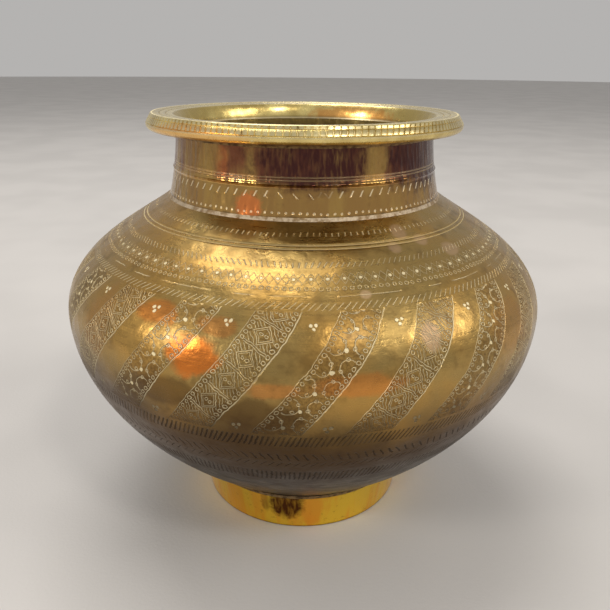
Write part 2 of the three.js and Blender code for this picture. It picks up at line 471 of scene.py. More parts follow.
class StripDrawing:
    """The engraving of the slanting strips and of the plain lands between them."""

    def __init__(self, engraver: Engraver, plan: StripPlan) -> None:
        """Works out where each point lies in its strip.

        Args:
            engraver: the engraver of the body.
            plan: the strips' plan.
        """
        self.engraver = engraver
        self.plan = plan
        board = engraver.board
        tilt = math.radians(plan.tilt)
        place = engraver.angle - (engraver.height - plan.edge_height) * plan.lean - plan.first_edge
        turn = place / plan.pitch
        number = board.maths("FLOOR", turn)
        self.share = turn - number
        self.degree = math.radians(plan.pitch) * engraver.radius
        half = plan.width / plan.pitch / 2
        off = (self.share - half) * self.degree
        self.across = off * math.cos(tilt)
        up = engraver.run - engraver.outline.run_at(plan.low)
        self.along = up / math.cos(tilt) + off * math.sin(tilt)
        self.edge = (half - abs(self.share - half)) * self.degree * math.cos(tilt)
        middle, reach = (plan.low + plan.high) / 2, (plan.high - plan.low) / 2
        self.height_band = board.ramp(abs(engraver.height - middle), reach + 0.3, reach - 0.3)
        counted = (number + plan.count // 2) / plan.count
        wrapped = board.maths("ROUND", board.maths("FRACT", counted) * plan.count)
        self.odd = board.ramp(board.maths("FRACT", wrapped / 2), 0.2, 0.3)
        self.inside = board.ramp(self.edge, 0.0, 0.3) * self.height_band
        self.core = board.ramp(self.edge, plan.ring_inset + 0.6, plan.ring_inset + 0.85)

    def borders(self) -> Shade:
        """The line along each edge of a strip, and the row of rings inside it."""
        cut, plan = self.engraver, self.plan
        line = cut.stroke(abs(self.edge), 0.17)
        spot = cut.repeat(self.along, plan.ring_pitch)
        ring = cut.span(self.edge - plan.ring_inset, spot)
        return line + cut.stroke(abs(ring - plan.ring_radius), 0.12)

    def lattice(self) -> Shade:
        """Squares with two rings in them, between double cross lines and slanting strokes."""
        cut, plan = self.engraver, self.plan
        board = cut.board
        half = plan.lattice_pitch / 2
        step = cut.repeat(self.along, plan.lattice_pitch)
        side = abs(self.across)
        far = abs(step)
        corner = side + far * 0.86
        outer, inner = plan.squares
        square = cut.stroke(abs(corner - outer), 0.13) + cut.stroke(abs(corner - inner), 0.1)
        crossing = cut.stroke(abs(far - (half - 0.32)), 0.12)
        pair = cut.stroke(abs(cut.span(side - 0.62, step) - 0.4), 0.11)
        slant = cut.stroke(abs(cut.repeat(self.across + step, 1.15)), 0.13)
        room = board.ramp(corner, 2.8, 3.0) * board.ramp(far, half - 0.5, half - 0.75)
        return (square + crossing + pair + slant * room) * self.core

    def flowers(self) -> Shade:
        """Punched dots, each in a ring, with curved leaf lines and petals round them."""
        cut, plan = self.engraver, self.plan
        half = plan.flower_pitch / 2
        step = cut.repeat(self.along, plan.flower_pitch)
        side = abs(self.across)
        far = abs(step)
        leaf = cut.stroke(abs(cut.span(self.across + 3.1, step + 0.4) - 2.6), 0.12)
        back = cut.stroke(abs(cut.span(self.across - 3.0, far - half) - 2.3), 0.12)
        petal = cut.stroke(abs(cut.span(side - 1.5, far - 1.5) - 0.42), 0.12)
        return (leaf + back + petal) * self.core

    def punches(self) -> Shade:
        """The bright punched dots in the middle of each flower."""
        cut, plan = self.engraver, self.plan
        step = cut.repeat(self.along, plan.flower_pitch)
        return cut.stroke(cut.span(self.across, step), plan.punch_radius) * self.odd * self.inside

    def trios(self, height: float) -> Shade:
        """Three punched dots near an end of each land.

        Args:
            height: their height, which also says how far the slanting land has moved.

        Returns:
            The marks.
        """
        cut, plan = self.engraver, self.plan
        middle = (1 + plan.width / plan.pitch) / 2
        shift = (height - plan.edge_height) * plan.lean + plan.first_edge
        turn = (cut.angle - shift) / plan.pitch
        across = (cut.board.maths("FRACT", turn) - middle) * self.degree
        up = cut.run - cut.outline.run_at(height)
        return sum(cut.stroke(cut.span(across - x, up - y), plan.trio_radius) for x, y in plan.trio)

    def marks(self) -> Shade:
        """Everything that is cut in the strips."""
        fill = self.lattice() * (1.0 - self.odd) + self.flowers() * self.odd
        return (self.borders() + fill * self.inside) * self.height_band


@dataclass(frozen=True)
class EngravedBrass:
    """Aged brass with engraved rows and strips, pale dust in the upper cuts, painted warm reflections and
    painted shadows, and a darker brown towards the bottom that is partly its patina and partly painted
    shade.
    """

    plan: StripPlan
    olive: Colour = (0.43, 0.29, 0.098, 1.0)
    warm: Colour = (0.50, 0.295, 0.080, 1.0)
    brown: Colour = (0.072, 0.036, 0.013, 1.0)
    copper: Colour = (0.78, 0.215, 0.030, 1.0)
    dust: Colour = (0.86, 0.74, 0.46, 1.0)
    dirt_and_shade: Colour = (0.020, 0.011, 0.005, 1.0)
    bloom: Colour = (0.62, 0.42, 0.27, 1.0)
    # Painted warm reflections: copper-coloured patches on the left of the belly, with fainter copies round
    # its sides and back.
    painted_warm_reflections: tuple[Patch, ...] = (
        Patch(-20.5, 84.0, 5.2, 5.0), Patch(-31.0, 91.5, 5.0, 2.6, 0.6), Patch(-17.0, 91.0, 4.0, 2.0, 0.4),
        Patch(-47.0, 84.0, 5.0, 8.0, 0.15), Patch(-4.9, 77.7, 5.0, 2.2, 0.4),
        Patch(10.0, 79.0, 8.0, 3.0, 0.45), Patch(48.0, 84.0, 7.0, 7.0, 0.15),
        Patch(-150.0, 80.0, 14.0, 9.0, 0.6), Patch(115.0, 88.0, 16.0, 6.0, 0.5),
    )
    blooms: tuple[Patch, ...] = (
        Patch(46.0, 103.0, 3.0, 1.3), Patch(32.0, 108.3, 3.0, 1.5), Patch(27.0, 105.4, 2.2, 1.0),
        Patch(38.0, 106.0, 2.6, 1.0), Patch(25.5, 88.0, 2.0, 3.2), Patch(14.0, 97.6, 1.3, 0.8),
    )
    left_shadow: Patch = Patch(-26.0, 73.5, 9.0, 4.5)
    front_shadow: Patch = Patch(-8.0, 70.0, 8.0, 5.0)
    chain: TickRow = TickRow(102.75, 103.7, 224, 0.0, 0.34)
    tick_rows: tuple[TickRow, ...] = (
        TickRow(108.45, 109.15, 176, 0.1, 0.36, 0.8), TickRow(95.2, 96.5, 243, 0.95, 0.36),
        TickRow(60.3, 63.9, 360, 0.45, 0.5), TickRow(54.5, 57.1, 205, -0.45, 0.55),
        TickRow(51.6, 53.4, 205, 0.9, 0.42), TickRow(43.6, 48.4, 340, 0.12, 0.5),
    )
    diamond_height: float = 100.7
    diamond_count: int = 92
    link_height: float = 98.95
    link_count: int = 210
    thread_heights: tuple[float, float] = (97.6, 38.3)
    trio_heights: tuple[float, float] = (92.2, 66.6)
    cut_depth: float = 0.24

    def material(self, outline: "BodyShell") -> bpy.types.Material:
        """Makes the body's material.

        Args:
            outline: the body, which knows the run of its outline at each height.

        Returns:
            The material.
        """
        board = Board("engraved_brass")
        ground = Ground(board)
        run = board.shade("ShaderNodeAttribute", {"attribute_name": RUN_LAYER}, {}, "Fac")
        cut = Engraver(ground, run, outline)
        strips = StripDrawing(cut, self.plan)
        blotch = board.noise(ground.place, 0.035, 3.0, 0.6)
        mottle = board.noise(ground.place, 0.16, 4.0, 0.6)
        grain = board.noise(ground.place, 1.4, 3.0, 0.7)
        rubbed = board.noise(ground.stretched(0.12, 2.6), 1.0, 3.0, 0.6)

        faint = board.ramp(board.noise(ground.place, 0.09, 2.0), 0.34, 0.56)
        marks = self.rows(cut) + strips.marks()
        dots = self.dots(cut, strips)
        twin = outline.twin_lines(cut)
        engraved = board.maths("MINIMUM", marks * (0.45 + faint * 0.55) + dots + twin, 1.0)

        upper = board.ramp(ground.height, 63.0, 74.0)
        outside = board.ramp(run, outline.length + 4.0, outline.length + 1.0)
        # Painted shade with brown patina: the level at which the belly darkens, kept lighter near the lit
        # middle at 20 degrees.
        shade_and_patina_level = ground.height + (blotch - 0.5) * 20.0 - abs(ground.angle - 20.0) * 0.08
        shadow = board.maths("MAXIMUM", ground.patch(self.left_shadow, mottle, 1.3),
                             ground.patch(self.front_shadow, mottle, 1.5))
        spots = sum(ground.patch(bloom, mottle, 1.2) for bloom in self.blooms)
        spots = board.maths("MINIMUM", spots, 1.0)
        metal = board.layered(board.mix(board.ramp(blotch, 0.36, 0.64), self.olive, self.warm), [
            # Painted warm reflections in copper.
            (ground.patches(self.painted_warm_reflections, mottle, 1.3) * 0.85, self.copper),
            # Darker brown towards the bottom: partly patina, partly painted shade.
            (board.ramp(shade_and_patina_level, 79.0, 54.0) * 0.94, self.brown),
            # Darker still under the belly, below 54 mm: painted shade over the darker underside.
            (board.ramp(ground.height, 54.0, 36.0) * 0.8, self.dirt_and_shade),
            (shadow * 0.6, self.brown),
            (board.ramp(mottle, 0.5, 0.72) * 0.4, self.brown),
            (strips.inside * (0.34 + (grain - 0.5) * 1.6), self.brown),
            (spots * 0.5, self.bloom),
            (engraved * (0.64 + dots * 0.3 + twin * 0.3), board.mix(upper, self.dirt_and_shade, self.dust)),
            ((1.0 - outside) * 0.6, self.brown),
        ])

        land = (1.0 - strips.inside) * upper
        rough = 0.37 + (mottle - 0.5) * 0.35 + (rubbed - 0.5) * 0.24 - land * 0.07 + engraved * 0.16
        rough = rough + strips.inside * 0.05 + spots * 0.12 + (1.0 - outside) * 0.15
        dusty = engraved * upper * 0.35
        relief = (blotch - 0.5) * 1.3 + (mottle - 0.5) * 0.24 + (grain - 0.5) * 0.03
        relief = relief + (rubbed - 0.5) * 0.018 - engraved * outside * self.cut_depth
        return board.metal(metal, 1.0 - dusty, rough, relief, 0.06)

    def rows(self, cut: Engraver) -> Shade:
        """The rows round the shoulder and round the foot of the belly."""
        board = cut.board
        turning = board.ramp(cut.angle, -18.0, 14.0) * 1.5 - 0.75
        weave = cut.diamonds(self.diamond_height, self.diamond_count, 1.8)
        links = cut.rings(self.link_height, self.link_count, 0.5, 0.12) * 0.8
        broken = board.noise(board.vector(cut.angle * 0.09, 0.0, 0.0), 1.0, 1.0)
        upper, lower = (cut.thread(height) for height in self.thread_heights)
        threads = upper * board.ramp(broken, 0.47, 0.55) + lower * 0.5
        strokes = sum(cut.ticks(row) for row in self.tick_rows)
        return cut.ticks(self.chain, turning) + weave + links + threads + strokes

    def dots(self, cut: Engraver, strips: StripDrawing) -> Shade:
        """The round punch marks, which stay bright."""
        row = cut.rings(self.diamond_height, self.diamond_count, 0.0, 0.52)
        upper, lower = (strips.trios(height) for height in self.trio_heights)
        return cut.board.maths("MINIMUM", row + upper + lower * 0.8 + strips.punches(), 1.0)


@dataclass(frozen=True)
class HammeredBrass:
    """Bright hammered brass with copper and plum tarnish, as on the neck collar, and with painted dark
    reflections in plum, painted orange glows and painted highlights.
    """

    gold: Colour = (0.56, 0.34, 0.095, 1.0)
    copper: Colour = (0.27, 0.095, 0.042, 1.0)
    plum: Colour = (0.085, 0.024, 0.019, 1.0)
    ember: Colour = (0.90, 0.27, 0.07, 1.0)
    inner: Colour = (0.92, 0.72, 0.28, 1.0)
    dust: Colour = (0.92, 0.80, 0.55, 1.0)
    dirt_and_shade: Colour = (0.05, 0.028, 0.012, 1.0)
    # Painted dark reflections in plum over the front and right of the collar.
    shades: tuple[Patch, ...] = (Patch(4.0, 127.5, 24.0, 8.5), Patch(60.0, 127.5, 30.0, 10.5))
    # Painted orange reflections that glow on the left of the collar.
    glows: tuple[Patch, ...] = (Patch(-20.5, 114.6, 5.0, 4.2, 0.9), Patch(-33.0, 126.0, 3.2, 5.0, 0.35))
    # Painted highlights.
    shines: tuple[Patch, ...] = (Patch(29.0, 127.0, 4.5, 7.0), Patch(-46.0, 127.0, 12.0, 7.0, 0.8))
    row: TickRow = TickRow(117.7, 119.4, 90, 0.55, 0.46)
    front_row: TickRow = TickRow(117.4, 118.9, 62, -0.9, 0.3)
    front_angle: float = -3.0
    stitch_height: float = 113.5
    stitch_count: int = 140

    def material(self, collar: "NeckCollar") -> bpy.types.Material:
        """Makes the collar's material.

        Args:
            collar: the collar, which knows where its lines are.

        Returns:
            The material.
        """
        board = Board("hammered_brass")
        ground = Ground(board)
        cut = Engraver(ground, ground.height, collar)
        bore = collar.top_radius - collar.wall
        outside = board.ramp(ground.radius, bore, bore + collar.wall / 2)
        facets = board.noise(ground.stretched(0.55, 0.10), 1.0, 1.0, 0.4)
        ripples = board.noise(ground.stretched(1.5, 0.22), 1.0, 2.0, 0.5)
        streak = board.noise(ground.stretched(0.13, 0.03), 1.0, 3.0, 0.6)
        mottle = board.noise(ground.place, 0.35, 3.0, 0.6)
        grain = board.noise(ground.place, 2.2, 2.0, 0.6)
        above = board.ramp(ground.height, collar.bead_height + 0.4, collar.bead_height + 1.4)

        gone = board.ramp(board.noise(ground.place, 0.05, 1.0), 0.36, 0.5)
        off_front = abs(ground.angle - self.front_angle)
        row = cut.ticks(self.row) * (0.35 + gone * 0.65) * board.ramp(off_front, 6.0, 12.0)
        row = row + cut.ticks(self.front_row) * board.ramp(off_front, 13.0, 8.0)
        stitches = cut.rings(self.stitch_height, self.stitch_count, 0.0, 0.36) * 0.8
        lines = sum(cut.stroke(abs(ground.height - line), 0.2) for line in collar.line_heights) * 0.6
        engraved = board.maths("MINIMUM", row + stitches + lines, 1.0) * outside
        uneven = ground.height + (mottle - 0.5) * 2.0
        # Painted shade under the rim's lip at the top of the collar, and darker at its joint with the body
        # at the bottom.
        ends = board.maths("MAXIMUM", board.ramp(uneven, 113.0, 111.9), board.ramp(uneven, 130.4, 131.6))
        tint = board.ramp(streak, 0.33, 0.55) * (0.3 + above * 0.7)
        metal = board.layered(board.mix(tint, self.gold, self.copper), [
            # Painted dark reflection in plum.
            (ground.patches(self.shades, mottle, 0.9) * (0.9 + (ripples - 0.5) * 1.6), self.plum),
            # Painted orange glow.
            (ground.patches(self.glows, mottle, 1.0), self.ember),
            # Painted highlights in gold.
            (ground.patches(self.shines, mottle, 1.0) * 0.75, self.gold),
            (board.ramp(mottle, 0.56, 0.74) * 0.3, self.plum),
            (engraved * 0.7, self.dust),
            # Painted shade at the top end, darker at the bottom end.
            (ends * 0.7, self.dirt_and_shade),
            ((1.0 - outside) * 0.85, self.inner),
        ])

        rough = 0.16 + (mottle - 0.5) * 0.25 + engraved * 0.25 + (1.0 - outside) * 0.2
        relief = (facets - 0.5) * 0.5 + (ripples - 0.5) * 0.13 * (0.4 + above) + (grain - 0.5) * 0.006
        return board.metal(metal, 1.0 - engraved * 0.3, rough, relief - engraved * 0.1, 0.3)


@dataclass(frozen=True)
class MilledBrass:
    """Olive-yellow turned brass, worn bright on its edges, as on the mouth rim, with a painted glow in the
    mouth, a painted warm reflection and painted shade under its lip.
    """

    olive: Colour = (0.86, 0.69, 0.27, 1.0)
    deep: Colour = (0.40, 0.27, 0.07, 1.0)
    ember: Colour = (0.80, 0.33, 0.07, 1.0)
    worn: Colour = (0.95, 0.84, 0.54, 1.0)
    dirt_and_shade: Colour = (0.10, 0.062, 0.022, 1.0)
    glow: Patch = Patch(152.0, 132.5, 24.0, 4.5)
    # Painted warm reflection on the left of the rim.
    painted_rim_reflection: Patch = Patch(-38.0, 133.5, 22.0, 3.0)

    def material(self, rim: "MouthRim") -> bpy.types.Material:
        """Makes the rim's material.

        Args:
            rim: the rim, which knows where its milled band is.

        Returns:
            The material.
        """
        board = Board("milled_brass")
        ground = Ground(board)
        blotch = board.noise(ground.place, 0.06, 3.0, 0.6)
        mottle = board.noise(ground.place, 0.4, 3.0, 0.65)
        grain = board.noise(ground.place, 2.4, 2.0, 0.6)
        round_it = board.vector(ground.radius * 1.8, ground.height * 1.8, ground.angle * 0.02)
        turned = board.noise(round_it, 1.0, 2.0)
        throat = board.ramp(ground.radius, rim.top_radius - 4.5, rim.top_radius - 9.0)
        # Painted shade under the rolled lip.
        under = board.ramp(ground.height, rim.base + 1.6, rim.base + 0.3)
        in_slot = board.ramp(rim.band_depth(ground), rim.slot_depth * 0.25, rim.slot_depth * 0.8)
        edge = board.shade("ShaderNodeNewGeometry", {}, {}, "Pointiness")
        fill = board.mix(board.ramp(mottle, 0.25, 0.5), self.dirt_and_shade, self.worn)
        tint = board.ramp(blotch, 0.4, 0.62) * 0.6
        metal = board.layered(board.mix(tint, self.olive, self.deep), [
            (ground.patch(self.glow, mottle, 1.2) * throat * 0.7, self.ember),
            # Painted warm reflection.
            (ground.patch(self.painted_rim_reflection, mottle, 0.8) * 0.5, self.ember),
            # Painted shade under the lip.
            (under * 0.7, self.dirt_and_shade),
            (board.ramp(edge, 0.505, 0.54) * 0.55, self.worn),
            (in_slot * 0.75, fill),
            (board.ramp(mottle, 0.58, 0.75) * 0.3, self.dirt_and_shade),
        ])
        rough = 0.27 + (mottle - 0.5) * 0.3 + (turned - 0.5) * 0.12 + in_slot * 0.2 + under * 0.1
        relief = (blotch - 0.5) * 0.5 + (mottle - 0.5) * 0.05 + (turned - 0.5) * 0.02 + (grain - 0.5) * 0.008
        return board.metal(metal, 1.0 - in_slot * 0.3, rough, relief)


@dataclass(frozen=True)
class PolishedBrass:
    """Bright golden brass with upright burnishing bands, as on the foot ring, with painted shadows, a
    painted warm reflection and painted shade at its top and bottom edges.
    """

    gold: Colour = (1.0, 0.68, 0.07, 1.0)
    amber: Colour = (1.0, 0.42, 0.05, 1.0)
    umber: Colour = (0.10, 0.032, 0.006, 1.0)
    dirt_and_shade: Colour = (0.06, 0.034, 0.012, 1.0)
    shadows: tuple[Patch, ...] = (Patch(-8.0, 10.5, 9.0, 6.5), Patch(-19.0, 10.5, 2.5, 4.5, 0.5))
    # Painted warm reflection at the front of the foot.
    painted_foot_reflection: Patch = Patch(5.5, 7.8, 6.0, 7.5)

    def material(self, foot: "FootRing") -> bpy.types.Material:
        """Makes the foot's material.

        Args:
            foot: the foot, which knows its own height.

        Returns:
            The material.
        """
        board = Board("polished_brass")
        ground = Ground(board)
        bands = board.noise(ground.stretched(0.22, 0.02), 1.0, 3.0, 0.6)
        fine = board.noise(ground.stretched(1.1, 0.10), 1.0, 2.0, 0.5)
        mottle = board.noise(ground.place, 0.4, 3.0, 0.65)
        # Painted shade at the top of the foot under the body, and at its bottom edge by the floor.
        top = board.ramp(ground.height + (mottle - 0.5) * 1.5, foot.height - 2.2, foot.height - 0.6)
        low = board.ramp(ground.height + (mottle - 0.5) * 1.2, 0.9, 0.2)
        # Darker and duller on the inside of the ring.
        inner = board.ramp(ground.radius, foot.radius - foot.wall / 2, foot.radius - foot.wall * 0.85)
        tint = board.ramp(bands, 0.42, 0.6) * 0.5
        metal = board.layered(board.mix(tint, self.gold, self.amber), [
            # Painted warm reflection.
            (ground.patch(self.painted_foot_reflection, mottle, 0.8) * 0.75, self.amber),
            (ground.patches(self.shadows, mottle, 0.8) * (0.9 + (fine - 0.5) * 1.2), self.umber),
            # Painted shade at the top and bottom edges.
            (board.maths("MAXIMUM", top, low) * 0.6, self.dirt_and_shade),
            (inner * 0.6, self.dirt_and_shade),
            (board.ramp(mottle, 0.58, 0.75) * 0.35, self.umber),
        ])
        rough = 0.17 + (mottle - 0.5) * 0.22 + inner * 0.25
        relief = (bands - 0.5) * 0.35 + (fine - 0.5) * 0.05 + (mottle - 0.5) * 0.02
        return board.metal(metal, 1.0, rough, relief)


@dataclass(frozen=True)
class FillerMetal:
    """Dull filler with lumps and polish dust on it."""

    name: str
    pale: Colour
    dark: Colour
    bare: float

    def material(self) -> bpy.types.Material:
        """Makes the filler's material."""
        board = Board(self.name)
        ground = Ground(board)
        lumps = board.noise(ground.place, 0.55, 2.0, 0.6)
        grit = board.noise(ground.place, 1.8, 3.0, 0.7)
        metal = board.mix(board.ramp(lumps, 0.42, 0.68), self.pale, self.dark)
        metal = board.mix(board.ramp(grit, 0.55, 0.75) * 0.5, metal, self.dark)
        rough = 0.55 + (grit - 0.5) * 0.4
        relief = (lumps - 0.5) * 0.5 + (grit - 0.5) * 0.12
        return board.metal(metal, self.bare, rough, relief)


def bezier(controls: list[Point], steps: int) -> list[Point]:
    """Points along a curve.

    Args:
        controls: three or four control points, as radius and height.
        steps: how many parts the curve is cut into.

    Returns:
        The points, both ends among them.
    """
    made = []
    for i in range(steps + 1):
        share = i / steps
        left = list(controls)
        while len(left) > 1:
            pairs = zip(left, left[1:])
            left = [(a[0] + (b[0] - a[0]) * share, a[1] + (b[1] - a[1]) * share) for a, b in pairs]
        made.append(left[0])
    return made


def inset(points: list[Point], wall: float) -> list[Point]:
    """The line that lies a wall's thickness inside an outline that is listed upwards."""
    made = []
    for i, (radius, height) in enumerate(points):
        before = points[max(i - 1, 0)]
        after = points[min(i + 1, len(points) - 1)]
        along = Vector((after[0] - before[0], after[1] - before[1])).normalized()
        made.append((max(radius - along.y * wall, 0.0), height + along.x * wall))
    return made


def grooved(points: list[Point], places: list[float], axis: int, width: float, depth: float) -> list[Point]:
    """Cuts rounded turned lines into an outline.

    Args:
        points: the outline, with its metal on the left of its run.
        places: where each line's middle is, as a radius or a height.
        axis: 0 where places are radii and 1 where they are heights.
        width: a line's width.
        depth: its depth, or with a minus sign the relief of a bead.

    Returns:
        The new outline.
    """
    made = []
    for i, point in enumerate(points):
        swallowed = any(abs(point[axis] - place) < width * 0.75 for place in places)
        if not swallowed:
            made.append(point)
        if i + 1 == len(points):
            continue
        here, there = Vector(point), Vector(points[i + 1])
        along = (there - here).normalized()
        inward = Vector((-along.y, along.x))
        crossed = [p for p in places if (here[axis] - p) * (there[axis] - p) <= 0 and here[axis] != p]
        crossed.sort(key=lambda p: abs(p - here[axis]))
        for place in crossed:
            middle = here.lerp(there, (place - here[axis]) / (there[axis] - here[axis]))
            for step in range(-3, 4):
                sink = depth * (0.5 + 0.5 * math.cos(math.pi * step / 3))
                made.append(tuple(middle + along * (width * step / 6) + inward * sink))
    return made


def crossing(points: list[Point], value: float, axis: int) -> float:
    """An outline's other coordinate where it first reaches a value.

    Args:
        points: the outline.
        value: the radius or height that is looked for.
        axis: 0 where value is a radius and 1 where it is a height.

    Returns:
        The height or the radius there.
    """
    for a, b in zip(points, points[1:]):
        if (a[axis] - value) * (b[axis] - value) <= 0 and a[axis] != b[axis]:
            return a[1 - axis] + (b[1 - axis] - a[1 - axis]) * (value - a[axis]) / (b[axis] - a[axis])
    raise ValueError(f"the outline doesn't reach {value}")


class Turned:
    """A piece that is spun from its outline."""

    sharp_turn = math.radians(38.0)

    def __init__(self, name: str, steps: int) -> None:
        """Starts an empty mesh.

        Args:
            name: the piece's name.
            steps: how many flat faces it has round it.
        """
        self.name = name
        self.steps = steps
        self.bm = bmesh.new()
        self.run = self.bm.verts.layers.float.new(RUN_LAYER)

    def spin(self, outline: list[Point], runs: Optional[list[float]] = None) -> None:
        """Spins an outline about the upright axis.

        Args:
            outline: its points. It is closed, unless it starts and ends on the axis.
            runs: the run of outline that each point carries, if it matters.
        """
        verts = [self.bm.verts.new((0.0, -radius * MM, height * MM)) for radius, height in outline]
        for vert, run in zip(verts, runs or []):
            vert[self.run] = run
        pairs = list(zip(verts, verts[1:]))
        if outline[0][0] > 0:
            pairs.append((verts[-1], verts[0]))
        edges = [self.bm.edges.new(pair) for pair in pairs]
        bmesh.ops.spin(self.bm, geom=verts + edges, cent=(0, 0, 0), axis=(0, 0, 1), dvec=(0, 0, 0),
                       angle=math.tau, steps=self.steps, use_merge=True, use_duplicate=False)
        bmesh.ops.remove_doubles(self.bm, verts=self.bm.verts, dist=MM * 1e-3)
        bmesh.ops.recalc_face_normals(self.bm, faces=self.bm.faces)

    def finish(self, node: str, slot: Slot, material: bpy.types.Material) -> None:
        """Makes the object, hangs it under the body's empty and hides the CAD part that it stands for.

        Args:
            node: the CAD node that it stands for.
            slot: the record's slot for its finish. It is not used.
            material: its material.
        """
        for face in self.bm.faces:
            face.smooth = True
        for edge in self.bm.edges:
            edge.smooth = edge.is_manifold and edge.calc_face_angle() < self.sharp_turn
        mesh = bpy.data.meshes.new(self.name)
        self.bm.to_mesh(mesh)
        self.bm.free()
        mesh.materials.append(material)
        piece = bpy.data.objects.new(self.name, mesh)
        bpy.context.scene.collection.objects.link(piece)
        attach(piece, BODY)
        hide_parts(node)
        log.info("%s: %d faces", self.name, len(mesh.polygons))


@dataclass
class BodyShell:
    """The raised body, with the twin lines that are turned round its shoulder."""

    belly_radius: float = 80.0
    belly_height: float = 76.0
    fullness_below: float = 31.0
    fullness_above: float = 18.0
    wall: float = 1.6
    bottom_height: float = 5.5
    seat_radius: float = 39.0
    seat_height: float = 15.0
    neck_radius: float = 44.8
    neck_height: float = 111.8
    collar_wall: float = 1.6
    shoulder_drop: float = 9.6
    shoulder_reach: float = 13.4
    twin_radius: float = 52.5
    twin_spacing: float = 1.1
    line_width: float = 0.6
    line_depth: float = 0.26
    filling_width: float = 0.4
    bottom_flat_share: float = 0.42
    bottom_dish: Point = (8.4, 7.3)
    belly_start: Point = (8.6, 7.5)
    bottom_steps: int = 14
    belly_steps: int = 44
    shoulder_steps: int = 56
    inner_stride: int = 3
    turns: int = 288

    def __post_init__(self) -> None:
        """Draws the outside, upwards, in three curves."""
        seat = (self.seat_radius, self.seat_height)
        widest = (self.belly_radius, self.belly_height)
        low = [(0.0, self.bottom_height), (self.seat_radius * self.bottom_flat_share, self.bottom_height),
               (self.seat_radius - self.bottom_dish[0], self.seat_height - self.bottom_dish[1]), seat]
        belly = [seat, (self.seat_radius + self.belly_start[0], self.seat_height + self.belly_start[1]),
                 (self.belly_radius, self.belly_height - self.fullness_below), widest]
        top = [widest, (self.belly_radius, self.belly_height + self.fullness_above),
               (self.neck_radius + self.shoulder_reach, self.neck_height - self.shoulder_drop),
               (self.neck_radius, self.neck_height)]
        self.bottom = bezier(low, self.bottom_steps)
        self.outside = bezier(belly, self.belly_steps) + bezier(top, self.shoulder_steps)[1:]
        self.runs = [0.0]
        for a, b in zip(self.outside, self.outside[1:]):
            self.runs.append(self.runs[-1] + math.dist(a, b))

    @property
    def twin_radii(self) -> list[float]:
        """The radii of the two turned lines on the shoulder."""
        return [self.twin_radius + i * self.twin_spacing for i in range(2)]

    @property
    def length(self) -> float:
        """The whole run of the outside, from its seat on the foot to the neck."""
        return self.runs[-1]

    def run_at(self, height: float) -> float:
        """The run of outline at a height."""
        heights = [(run, point[1]) for run, point in zip(self.runs, self.outside)]
        return crossing(heights, height, 1)

    def run_of(self, point: Point) -> float:
        """The run of outline nearest to a point of it."""
        return self.run_at(min(max(point[1], self.outside[0][1]), self.outside[-1][1]))

    def radius_at(self, height: float) -> float:
        """The outside radius at a height."""
        return crossing(self.outside, height, 1)

    def twin_lines(self, cut: Engraver) -> Shade:
        """The pale filling of the two turned lines."""
        low = crossing(self.outside[self.belly_steps + 1:], self.twin_radii[1], 0)
        half = self.filling_width / 2
        lines = sum(cut.stroke(abs(cut.radius - radius), half) for radius in self.twin_radii)
        return lines * cut.board.ramp(cut.height, low - 3.0, low - 2.0)

    def build(self, finish: EngravedBrass) -> None:
        """Spins the shell, wall and all.

        Args:
            finish: its metal.
        """
        turned = Turned("engraved_body", self.turns)
        upper = self.outside[self.belly_steps:]
        upper = grooved(upper, self.twin_radii, 0, self.line_width, self.line_depth)
        outer = self.outside[:self.belly_steps] + upper
        bore = self.neck_radius - self.collar_wall
        inner = inset(self.bottom[:-1] + self.outside, self.wall)
        inner = inner[::self.inner_stride]
        inner = [p for p in inner if p[0] > bore + 1.0 or p[1] < self.belly_height]
        inner[0] = (0.0, inner[0][1])
        lip = [(bore, self.neck_height), (bore, self.neck_height - self.wall / 2)]
        outline = self.bottom[:-1] + outer + lip + inner[::-1]
        runs = [-math.dist(p, self.outside[0]) for p in self.bottom[:-1]]
        runs += [self.run_of(p) for p in outer]
        runs += [self.length + 10.0] * (len(lip) + len(inner))
        turned.spin(outline, runs)
        turned.finish("body_shell", Slot.BODY, finish.material(self))


@dataclass
class NeckCollar:
    """The hammered collar, with two cut lines over a bead."""

    base_radius: float = 44.8
    top_radius: float = 41.8
    base: float = 111.8
    height: float = 20.0
    wall: float = 1.6
    waist: float = 0.6
    waist_share: float = 0.46
    line_heights: tuple[float, float] = (122.2, 123.0)
    line_width: float = 0.5
    line_depth: float = 0.25
    bead_height: float = 120.7
    bead_span: float = 0.9
    bead_relief: float = 0.3
    steps: int = 40
    turns: int = 240

    def run_at(self, height: float) -> float:
        """The run at a height, which on this steep wall is the height itself."""
        return height

    def radius_at(self, height: float) -> float:
        """The outside radius at a height."""
        return crossing(self.outside, height, 1)

    @property
    def outside(self) -> list[Point]:
        """The plain outside, upwards."""
        middle = (self.top_radius + self.waist, self.base + self.height * self.waist_share)
        return bezier([(self.base_radius, self.base), middle, (self.top_radius, self.base + self.height)],
                      self.steps)

    def build(self, finish: HammeredBrass) -> None:
        """Spins the collar.

        Args:
            finish: its metal.
        """
        turned = Turned("hammered_collar", self.turns)
        outer = grooved(self.outside, list(self.line_heights), 1, self.line_width, self.line_depth)
        outer = grooved(outer, [self.bead_height], 1, self.bead_span, -self.bead_relief)
        inner = [(radius - self.wall, height) for radius, height in self.outside[::4]]
        turned.spin(outer + inner[::-1])
        turned.finish("neck_collar", Slot.NECK, finish.material(self))


